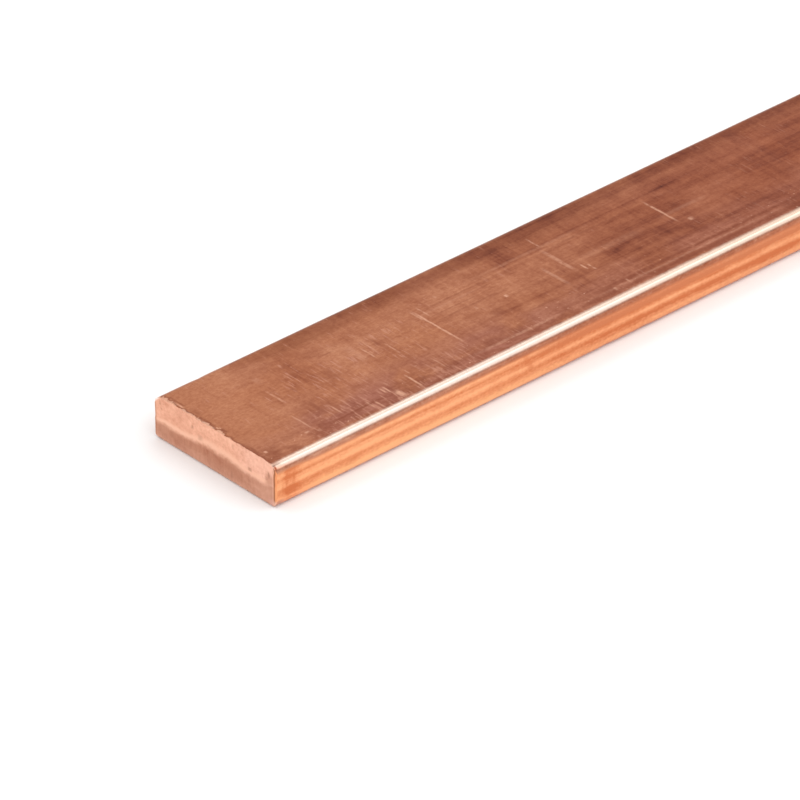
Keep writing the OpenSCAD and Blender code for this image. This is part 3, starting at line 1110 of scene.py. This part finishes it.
@dataclass(frozen=True)
class ShearedFace(Finish):
    """End cut by a blade: a smooth dull band below, a bright rim, and a rough torn band. The dull
    band is partly painted shade and the torn band partly painted light, as the one faces slightly
    down and the other up, and the rims are painted highlights.
    """

    # wiped band partly painted shade, torn band partly painted light, rim a painted highlight
    wiped: Colour = (0.525, 0.238, 0.148)
    wiped_light: Colour = (0.635, 0.325, 0.222)
    torn: Colour = (0.865, 0.490, 0.345)
    torn_pale: Colour = (0.885, 0.525, 0.390)
    rim: Colour = (0.920, 0.565, 0.410)
    # painted reflection on the lower corner and painted glint on the upper corner
    corner_reflection: Colour = (0.800, 0.470, 0.400)
    painted_corner_glint: Colour = (0.970, 0.850, 0.800)
    pit: Colour = (0.330, 0.120, 0.065)
    # painted shade along the end's upright borders
    corner: Colour = (0.430, 0.165, 0.075)
    side_metal: Colour = (0.850, 0.360, 0.165)
    half_width: float = 15.0
    stains: tuple[Mark, ...] = (
        Mark(5.75, 6.0, 1.0, 0.9, 0.40),
        Mark(3.75, 4.9, 1.6, 1.8, 0.24),
        Mark(-4.25, 6.9, 1.5, 0.8, 0.22),
        Mark(-8.5, 4.6, 0.8, 1.5, 0.45),
        Mark(-12.5, 4.8, 0.8, 1.1, 0.45),
        Mark(-13.2, 5.7, 1.5, 0.9, 0.55),
        Mark(-4.25, 1.7, 2.4, 1.0, 0.28),
        Mark(10.6, 2.6, 1.6, 1.8, 0.22),
        Mark(13.6, 7.2, 1.2, 0.8, 0.30),
    )

    def material(self) -> bpy.types.Material:
        """Builds the material: two bands, which part at the line that the mesh carries."""
        material, graph, shader, place = self.graph()
        _, y, z = graph.axes(place)
        above = graph.node("ShaderNodeAttribute", attribute_name="above_line",
                           attribute_type="GEOMETRY").outputs["Fac"]
        fine = Effect.GRAIN.use(graph, {"Place": place}).outputs["Fine"]
        coarse = graph.noise(place, (1.0, 0.9, 1.3), 4.0, 0.62)
        broad = graph.noise(place, (1.0, 0.30, 0.45), 3.0, 0.55, 0.4)
        streaks = graph.noise(place, (1.0, 1.5, 0.20), 3.0, 0.6, 0.3)
        ragged = graph.plus(above, graph.centred(coarse, 0.8))
        torn = graph.ramp(ragged, -0.35, 1.0)
        base = graph.blend(graph.ramp(y, -4.0, -12.0, 0.0, 0.8), self.wiped, self.wiped_light)
        base = graph.blend(graph.ramp(z, 2.9, 0.5, 0.0, 0.9), base, self.wiped_light)
        base = graph.toned(base, graph.tones((streaks, 0.50), (broad, 0.80), (fine, 0.35)))
        # painted highlight along the rolled-over lower edge
        base = graph.blend(graph.ramp(z, 1.1, 0.6, 0.0, 0.20), base, self.rim)
        # slightly darker towards +Y: painted shade by the rounded corner
        tone = graph.times(graph.tones((coarse, 0.50), (fine, 0.38), (broad, 0.55)),
                           graph.ramp(y, 4.0, 9.0, 1.0, 0.93))
        metal = graph.blend(graph.ramp(y, -3.0, -9.0), self.torn, self.torn_pale)
        metal = graph.toned(metal, tone)
        specks = Effect.SPECKS.use(graph, {"Place": place, "Size": 0.9, "Share": 0.08})
        metal = graph.blend(graph.times(specks.outputs["Mask"], 0.28), metal, self.pit)
        # painted highlight along the ridge between the two bands
        rim = graph.times(graph.ramp(ragged, 0.2, 0.95), graph.ramp(ragged, 2.0, 1.1))
        metal = graph.blend(rim, metal, self.rim)
        worn = graph.times(graph.ramp(y, -11.8, -13.2, 0.0, 0.75), graph.ramp(z, 6.6, 5.2), torn)
        colour = graph.blend(worn, graph.blend(torn, base, metal), self.wiped_light)
        colour = graph.blend(self.mask(graph, graph.pair(y, z), self.stains), colour, self.pit)
        graph.feed(shader.inputs["Base Color"], self.borders(graph, colour, y, z))
        graph.feed(shader.inputs["Roughness"], graph.ramp(torn, 0.0, 1.0, 0.38, 0.62))
        self.relief(graph, shader, graph.mix(torn, streaks, coarse), 0.35, 0.06 * MM)
        return material

    def borders(self, graph: Graph, colour: Socket, y: Socket, z: Socket) -> Socket:
        """The face's colour, with what lies along its two upright borders laid over it: a painted
        reflection and a painted glint on the rounded corners, a painted highlight strip and painted
        shade.
        """
        # painted reflection on the rounded lower corner at -Y
        corner_reflection = graph.times(graph.ramp(y, -12.8, -14.0, 0.0, 0.6), graph.ramp(z, 1.9, 1.0))
        colour = graph.blend(corner_reflection, colour, self.corner_reflection)
        # painted glint on the rounded upper corner at +Y
        shine = graph.ramp(graph.plus(y, z), 21.5, 22.05, 0.0, 0.85)
        colour = graph.blend(shine, colour, self.painted_corner_glint)
        side = self.half_width
        # painted highlight: a bright strip along the border at -Y
        thin = graph.times(graph.ramp(y, 1.0 - side, 0.75 - side, 0.0, 0.4),
                           graph.ramp(z, 6.6, 5.9))
        colour = graph.blend(thin, colour, self.rim)
        # painted shade along both upright borders where the rounded corners turn away, changing to
        # the side's colour at the -Y edge
        rounded = graph.times(graph.ramp(y, 0.66 - side, 0.52 - side, 0.0, 0.95),
                              graph.ramp(z, 0.9, 1.7))
        shaded = graph.times(graph.ramp(y, side - 0.7, side - 0.15, 0.0, 0.6),
                             graph.ramp(z, 7.2, 6.6))
        turned = graph.ramp(y, 0.28 - side, 0.14 - side)
        return graph.blend(graph.math("MAXIMUM", rounded, shaded), colour,
                           graph.blend(turned, self.corner, self.side_metal))


@dataclass(frozen=True)
class SawnFace(Finish):
    """Hidden end, cut square by a saw: bright copper with fine strokes across it."""

    metal: Colour = (0.860, 0.430, 0.280)
    shade: Colour = (0.640, 0.290, 0.180)

    def material(self) -> bpy.types.Material:
        """Builds the material: the furrows' dark sides stand out in the shade's colour."""
        material, graph, shader, place = self.graph()
        grain = Effect.GRAIN.use(graph, {"Place": place})
        teeth = graph.noise(place, (1.0, 5.0, 0.5), 3.0, 0.6, 0.4)
        tone = graph.plus(teeth, graph.centred(grain.outputs["Fine"], 0.4))
        graph.feed(shader.inputs["Base Color"],
                   graph.blend(graph.ramp(tone, 0.35, 0.65), self.metal, self.shade))
        self.relief(graph, shader, teeth, 0.4, 0.05 * MM)
        return material


# The studio round the bar

@dataclass(frozen=True)
class Softbox:
    """A large soft lamp that faces the bar."""

    name: str
    place: Triple
    aim: Triple
    width: float
    height: float
    power: float

    def build(self) -> None:
        """Adds the lamp to the scene."""
        data = bpy.data.lights.new(self.name, "AREA")
        data.shape = "RECTANGLE"
        data.size = self.width
        data.size_y = self.height
        data.energy = self.power
        lamp = bpy.data.objects.new(self.name, data)
        lamp.location = self.place
        towards = Vector(self.aim) - Vector(self.place)
        lamp.rotation_euler = towards.to_track_quat("-Z", "Y").to_euler()
        bpy.context.scene.collection.objects.link(lamp)


@dataclass(frozen=True)
class Viewpoint:
    """The camera: a long lens from above the sheared end's near corner."""

    azimuth: float = -42.32
    elevation: float = 32.11
    distance: float = 1.3043
    lens: float = 360.0
    sensor: float = 36.0
    aim: Triple = (-0.12346, -0.01564, 0.01005)

    def build(self) -> None:
        """Adds the camera and makes it the scene's own."""
        turn, rise = math.radians(self.azimuth), math.radians(self.elevation)
        back = Vector((math.sin(turn) * math.cos(rise), -math.cos(turn) * math.cos(rise),
                       math.sin(rise)))
        data = bpy.data.cameras.new("camera")
        data.lens = self.lens
        data.sensor_width = self.sensor
        data.clip_end = 50.0
        camera = bpy.data.objects.new("camera", data)
        camera.location = Vector(self.aim) + back * self.distance
        camera.rotation_euler = (-back).to_track_quat("-Z", "Y").to_euler()
        bpy.context.scene.collection.objects.link(camera)
        bpy.context.scene.camera = camera


@dataclass(frozen=True)
class Studio:
    """Pale floor, white surroundings and soft lamps."""

    floor_reach: float = 12.0
    floor_colour: Colour = (0.92, 0.92, 0.92)
    floor_glow: float = 0.04
    sky_light: float = 0.96
    lamps: tuple[Softbox, ...] = (
        Softbox("softbox_front", (0.30, -0.70, 0.80), (0.0, 0.0, 0.0), 2.0, 0.9, 6.0),
        Softbox("softbox_back", (0.0, 0.55, 1.10), (0.0, 0.0, 0.0), 1.6, 0.3, 1.5),
    )

    def build(self) -> None:
        """Adds the floor, the world and the lamps."""
        self.floor()
        self.world()
        for lamp in self.lamps:
            lamp.build()

    @staticmethod
    def seen(graph: Graph) -> Socket:
        """1 for rays from the camera, a reflection or a transmission, and 0 for the rest."""
        path = graph.node("ShaderNodeLightPath")
        total = graph.plus(path.outputs["Is Camera Ray"], path.outputs["Is Glossy Ray"])
        return graph.math("ADD", total, path.outputs["Is Transmission Ray"], clamp=True)

    def floor(self) -> None:
        """A wide pale floor at the height that the bar lies on."""
        reach = self.floor_reach
        mesh = bpy.data.meshes.new("floor")
        corners = [(-reach, -reach, 0.0), (reach, -reach, 0.0), (reach, reach, 0.0),
                   (-reach, reach, 0.0)]
        mesh.from_pydata(corners, [], [(0, 1, 2, 3)])
        floor = bpy.data.objects.new("floor", mesh)
        bpy.context.scene.collection.objects.link(floor)
        material = bpy.data.materials.new("floor_paint")
        material.use_nodes = True
        graph = Graph(material.node_tree)
        shader = material.node_tree.nodes["Principled BSDF"]
        shader.inputs["Base Color"].default_value = (*self.floor_colour, 1.0)
        shader.inputs["Roughness"].default_value = 0.9
        shader.inputs["Specular IOR Level"].default_value = 0.0
        shader.inputs["Emission Color"].default_value = (1.0, 1.0, 1.0, 1.0)
        graph.feed(shader.inputs["Emission Strength"],
                   graph.times(self.seen(graph), self.floor_glow))
        mesh.materials.append(material)

    def world(self) -> None:
        """White where it is seen or reflected, and a softer light on everything."""
        world = bpy.data.worlds.new("studio")
        world.use_nodes = True
        graph = Graph(world.node_tree)
        background = world.node_tree.nodes["Background"]
        background.inputs["Color"].default_value = (1.0, 1.0, 1.0, 1.0)
        graph.feed(background.inputs["Strength"], graph.mix(self.seen(graph), self.sky_light, 1.0))
        bpy.context.scene.world = world


def build_bar() -> bpy.types.Object:
    """Builds and dresses the bar to the size of its solid.

    Returns:
        The bar's object.
    """
    low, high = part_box("bar")
    size = high - low
    section = BarSection(width=size.y, thickness=size.z)
    sheared = ShearedEnd(thickness=size.z, half_width=size.y / 2.0)
    piece = CopperBar(length=size.x, section=section, sheared=sheared).build()
    for finish in (DrawnSkin("drawn_skin", 0.30), ShearedFace("sheared_face", 0.5),
                   SawnFace("sawn_face", 0.42)):
        piece.data.materials.append(finish.material())
    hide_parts("bar")
    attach(piece, "root")
    log.info("%s: %d vertices, %d faces", piece.name, len(piece.data.vertices),
             len(piece.data.polygons))
    return piece


def main() -> None:
    """Builds the camera, the bar and the studio."""
    logging.basicConfig(level=logging.INFO, format="%(name)s: %(message)s")
    bpy.context.scene.view_settings.view_transform = "Standard"
    Viewpoint().build()
    build_bar()
    Studio().build()


if __name__ == "__main__":
    main()
